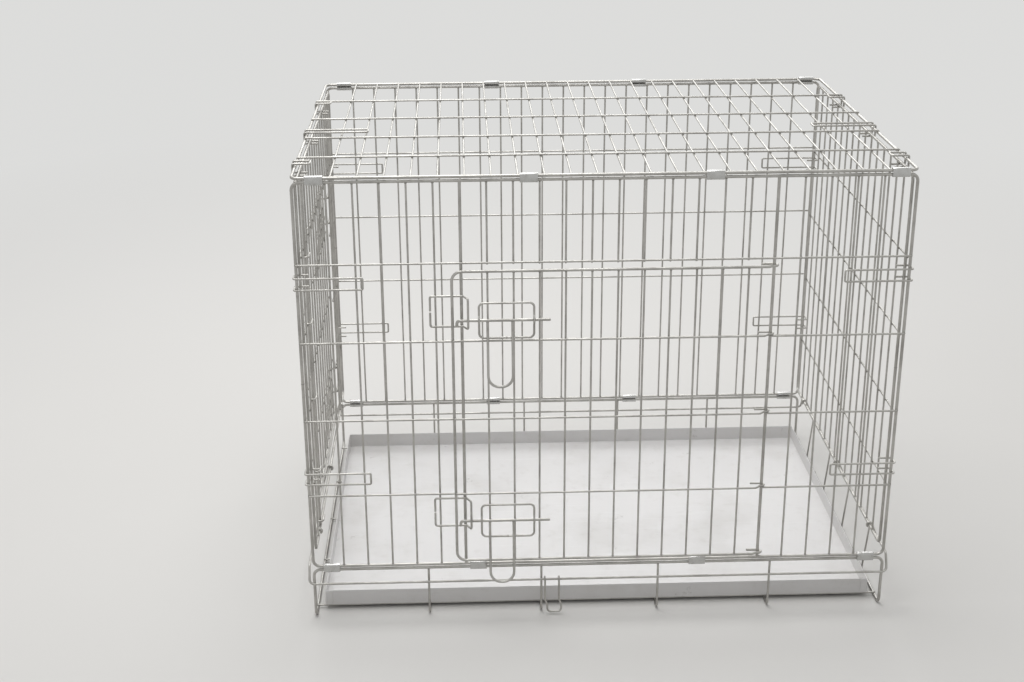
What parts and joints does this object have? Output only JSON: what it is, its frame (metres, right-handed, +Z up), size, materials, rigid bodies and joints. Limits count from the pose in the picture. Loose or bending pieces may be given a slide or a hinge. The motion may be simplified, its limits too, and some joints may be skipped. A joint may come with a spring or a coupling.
{
  "type": "dog crate",
  "caption": "Folding wire dog crate with a front and an end door, wire slide latches and a pull-out metal tray.",
  "frame": {"origin": "centre of the crate's outer box, on the floor", "axes": "+Z up, +X along the long side to the end without a door, -Y out of the front door"},
  "size_m": [0.788, 0.5724, 0.611],
  "materials": {
    "zinc_wire": "dull silver zinc-plated wire",
    "bright_zinc": "brighter zinc-plated sheet",
    "tray_paint": "pale grey satin paint on sheet steel"
  },
  "bodies": {
    "root": {"base_frame": "zinc_wire", "front_panel": "zinc_wire", "back_panel": "zinc_wire", "top_panel": "zinc_wire", "base_back_clip_1": "bright_zinc", "base_back_clip_2": "bright_zinc", "base_back_clip_3": "bright_zinc", "base_back_clip_4": "bright_zinc", "base_front_clip_1": "bright_zinc", "base_front_clip_2": "bright_zinc", "base_front_clip_3": "bright_zinc", "base_front_clip_4": "bright_zinc", "top_back_clip_1": "bright_zinc", "top_back_clip_2": "bright_zinc", "top_back_clip_3": "bright_zinc", "top_back_clip_4": "bright_zinc", "top_front_clip_1": "bright_zinc", "top_front_clip_2": "bright_zinc", "top_front_clip_3": "bright_zinc", "top_front_clip_4": "bright_zinc", "back_left_lower_hook": "zinc_wire", "back_left_upper_hook": "zinc_wire", "back_right_lower_hook": "zinc_wire", "back_right_upper_hook": "zinc_wire", "front_left_lower_hook": "zinc_wire", "front_left_upper_hook": "zinc_wire", "front_right_lower_hook": "zinc_wire", "front_right_upper_hook": "zinc_wire", "top_left_back_short_hook": "zinc_wire", "top_left_front_short_hook": "zinc_wire", "top_left_hook": "zinc_wire", "top_right_back_short_hook": "zinc_wire", "top_right_front_short_hook": "zinc_wire", "top_right_hook": "zinc_wire", "front_door_lower_keeper": "zinc_wire", "front_door_upper_keeper": "zinc_wire"},
    "left_end": {"left_end_panel": "zinc_wire", "end_door_lower_keeper": "zinc_wire", "end_door_upper_keeper": "zinc_wire"},
    "right_end": {"right_end_panel": "zinc_wire"},
    "front_door": {"front_door": "zinc_wire", "front_door_lower_guide": "zinc_wire", "front_door_upper_guide": "zinc_wire"},
    "end_door": {"end_door": "zinc_wire", "end_door_lower_guide": "zinc_wire", "end_door_upper_guide": "zinc_wire"},
    "tray": {"tray": "tray_paint"},
    "swing_hook": {"swing_hook": "zinc_wire"},
    "front_door_lower_bolt": {"front_door_lower_bolt": "zinc_wire"},
    "front_door_lower_handle": {"front_door_lower_handle": "zinc_wire"},
    "front_door_upper_bolt": {"front_door_upper_bolt": "zinc_wire"},
    "front_door_upper_handle": {"front_door_upper_handle": "zinc_wire"},
    "end_door_lower_bolt": {"end_door_lower_bolt": "zinc_wire"},
    "end_door_lower_handle": {"end_door_lower_handle": "zinc_wire"},
    "end_door_upper_bolt": {"end_door_upper_bolt": "zinc_wire"},
    "end_door_upper_handle": {"end_door_upper_handle": "zinc_wire"}
  },
  "joints": [
    {"name": "left_end_fold", "type": "hinge", "parent": "root", "child": "left_end", "pos_m": [-0.37058, 0.00923, 0.09646], "axis": [0, -1, 0], "range_deg": [-90, 0]},
    {"name": "right_end_fold", "type": "hinge", "parent": "root", "child": "right_end", "pos_m": [0.38242, 0.00923, 0.08846], "axis": [0, 1, 0], "range_deg": [-90, 0]},
    {"name": "front_door_swing", "type": "hinge", "parent": "root", "child": "front_door", "pos_m": [0.2162, -0.26277, -0.00004], "axis": [0, 0, 1], "range_deg": [0, 150]},
    {"name": "end_door_swing", "type": "hinge", "parent": "left_end", "child": "end_door", "pos_m": [-0.37058, -0.18488, -0.00004], "axis": [0, 0, 1], "range_deg": [0, 150]},
    {"name": "front_door_lower_bolt_slide", "type": "slide", "parent": "front_door", "child": "front_door_lower_bolt", "axis": [1, 0, 0], "range_m": [0, 0.02]},
    {"name": "front_door_lower_handle_swing", "type": "hinge", "parent": "front_door_lower_bolt", "child": "front_door_lower_handle", "pos_m": [0.2162, -0.27368, 0.14546], "axis": [-1, 0, 0], "range_deg": [0, 160]},
    {"name": "front_door_upper_bolt_slide", "type": "slide", "parent": "front_door", "child": "front_door_upper_bolt", "axis": [1, 0, 0], "range_m": [0, 0.02]},
    {"name": "front_door_upper_handle_swing", "type": "hinge", "parent": "front_door_upper_bolt", "child": "front_door_upper_handle", "pos_m": [0.2162, -0.27368, 0.42446], "axis": [-1, 0, 0], "range_deg": [0, 160]},
    {"name": "end_door_lower_bolt_slide", "type": "slide", "parent": "end_door", "child": "end_door_lower_bolt", "axis": [0, -1, 0], "range_m": [0, 0.02]},
    {"name": "end_door_lower_handle_swing", "type": "hinge", "parent": "end_door_lower_bolt", "child": "end_door_lower_handle", "pos_m": [-0.38148, -0.18488, 0.14046], "axis": [0, 1, 0], "range_deg": [0, 160]},
    {"name": "end_door_upper_bolt_slide", "type": "slide", "parent": "end_door", "child": "end_door_upper_bolt", "axis": [0, -1, 0], "range_m": [0, 0.02]},
    {"name": "end_door_upper_handle_swing", "type": "hinge", "parent": "end_door_upper_bolt", "child": "end_door_upper_handle", "pos_m": [-0.38148, -0.18488, 0.41946], "axis": [0, 1, 0], "range_deg": [0, 160]},
    {"name": "tray_slide", "type": "slide", "parent": "root", "child": "tray", "axis": [-1, 0, 0], "range_m": [0, 0.6]},
    {"name": "swing_hook_turn", "type": "hinge", "parent": "root", "child": "swing_hook", "pos_m": [-0.05818, -0.26538, 0.05146], "axis": [-1, 0, 0], "range_deg": [0, 150]}
  ]
}
